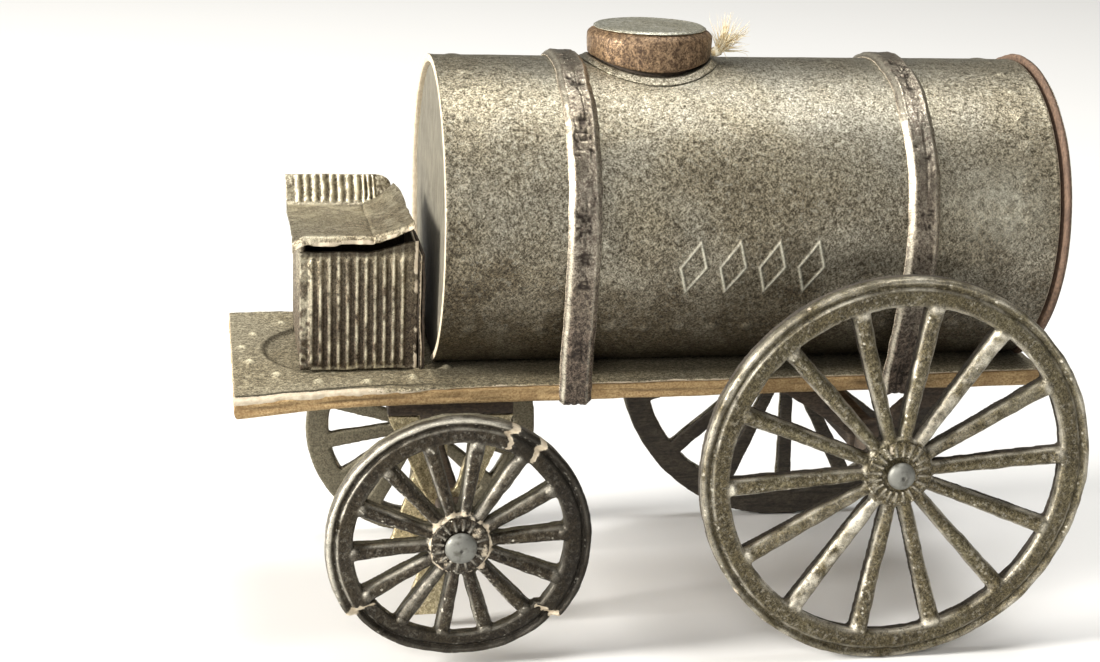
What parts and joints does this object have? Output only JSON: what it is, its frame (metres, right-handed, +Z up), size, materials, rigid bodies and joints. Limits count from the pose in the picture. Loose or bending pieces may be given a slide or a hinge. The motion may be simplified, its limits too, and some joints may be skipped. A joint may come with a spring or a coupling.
{
  "type": "toy tank wagon",
  "caption": "Miniature horse-drawn tank wagon of embossed foil-faced card, with turning spoked wheels, a driver's seat, a filler and a pull-off rear cap.",
  "frame": {"origin": "centre of the bounding box, on the surface that the wheels stand on", "axes": "+X points to the rear end of the tank, -X to the driver's seat, +Y to the wagon's right side, +Z up"},
  "size_m": [0.07, 0.0362, 0.0517],
  "materials": {
    "tank_foil": "aged pewter-coloured embossed foil on card",
    "strap_foil": "creased pewter-coloured foil on card",
    "wheel_foil": "aged embossed foil on card, bright on the raised parts",
    "seat_foil": "ribbed embossed foil on card",
    "deck_foil": "aged embossed foil skin",
    "bracket_foil": "folded foil-faced paper",
    "deck_card": "raw brown layered card edge",
    "cap_card": "raw tan card edge, foil on its outer face",
    "grey_card": "matt grey card",
    "lid_card": "copper-brown card",
    "dark_card": "dark brown card",
    "wheel_backing_card": "plain layered card",
    "nail_steel": "dull grey steel",
    "cream_thread": "frayed cream thread"
  },
  "bodies": {
    "chassis": {"deck_board": "deck_card", "deck_foil": "deck_foil", "filler_flange": "tank_foil", "filler_lid_side": "lid_card", "filler_lid_top": "tank_foil", "filler_neck": "dark_card", "front_axle": "dark_card", "front_bolster": "dark_card", "front_left_bracket": "bracket_foil", "front_left_nail": "nail_steel", "front_right_bracket": "bracket_foil", "front_right_nail": "nail_steel", "front_strap": "strap_foil", "hanging_thread": "cream_thread", "rear_axle": "dark_card", "rear_left_hanger": "dark_card", "rear_left_nail": "nail_steel", "rear_right_hanger": "dark_card", "rear_right_nail": "nail_steel", "rear_strap": "strap_foil", "seat_back": "seat_foil", "seat_backrest": "seat_foil", "seat_front": "seat_foil", "seat_left_lip": "seat_foil", "seat_left_side": "seat_foil", "seat_pan": "seat_foil", "seat_right_side": "seat_foil", "seat_right_wing": "seat_foil", "tank_front_end": "grey_card", "tank_shell": "tank_foil"},
    "rear_cap": {"rear_cap": "cap_card", "rear_cap_plug": "grey_card"},
    "front_left_wheel": {"front_left_wheel_face": "wheel_foil", "front_left_wheel_backing": "wheel_backing_card", "front_left_wheel_rosette": "wheel_foil"},
    "front_right_wheel": {"front_right_wheel_face": "wheel_foil", "front_right_wheel_backing": "wheel_backing_card", "front_right_wheel_rosette": "wheel_foil"},
    "rear_left_wheel": {"rear_left_wheel_face": "wheel_foil", "rear_left_wheel_backing": "wheel_backing_card", "rear_left_wheel_rosette": "wheel_foil"},
    "rear_right_wheel": {"rear_right_wheel_face": "wheel_foil", "rear_right_wheel_backing": "wheel_backing_card", "rear_right_wheel_rosette": "wheel_foil"}
  },
  "joints": [
    {"name": "front_left_wheel_spin", "type": "hinge", "parent": "chassis", "child": "front_left_wheel", "pos_m": [-0.0172, -0.0145, 0.0108], "axis": [0, 1, 0], "continuous": true},
    {"name": "front_right_wheel_spin", "type": "hinge", "parent": "chassis", "child": "front_right_wheel", "pos_m": [-0.0172, 0.0145, 0.0108], "axis": [0, 1, 0], "continuous": true},
    {"name": "rear_left_wheel_spin", "type": "hinge", "parent": "chassis", "child": "rear_left_wheel", "pos_m": [0.0185, -0.0161, 0.0165], "axis": [0, 1, 0], "continuous": true},
    {"name": "rear_right_wheel_spin", "type": "hinge", "parent": "chassis", "child": "rear_right_wheel", "pos_m": [0.0185, 0.0161, 0.0165], "axis": [0, 1, 0], "continuous": true},
    {"name": "rear_cap_pull", "type": "slide", "parent": "chassis", "child": "rear_cap", "axis": [1, 0, 0], "range_m": [0, 0.012]}
  ]
}
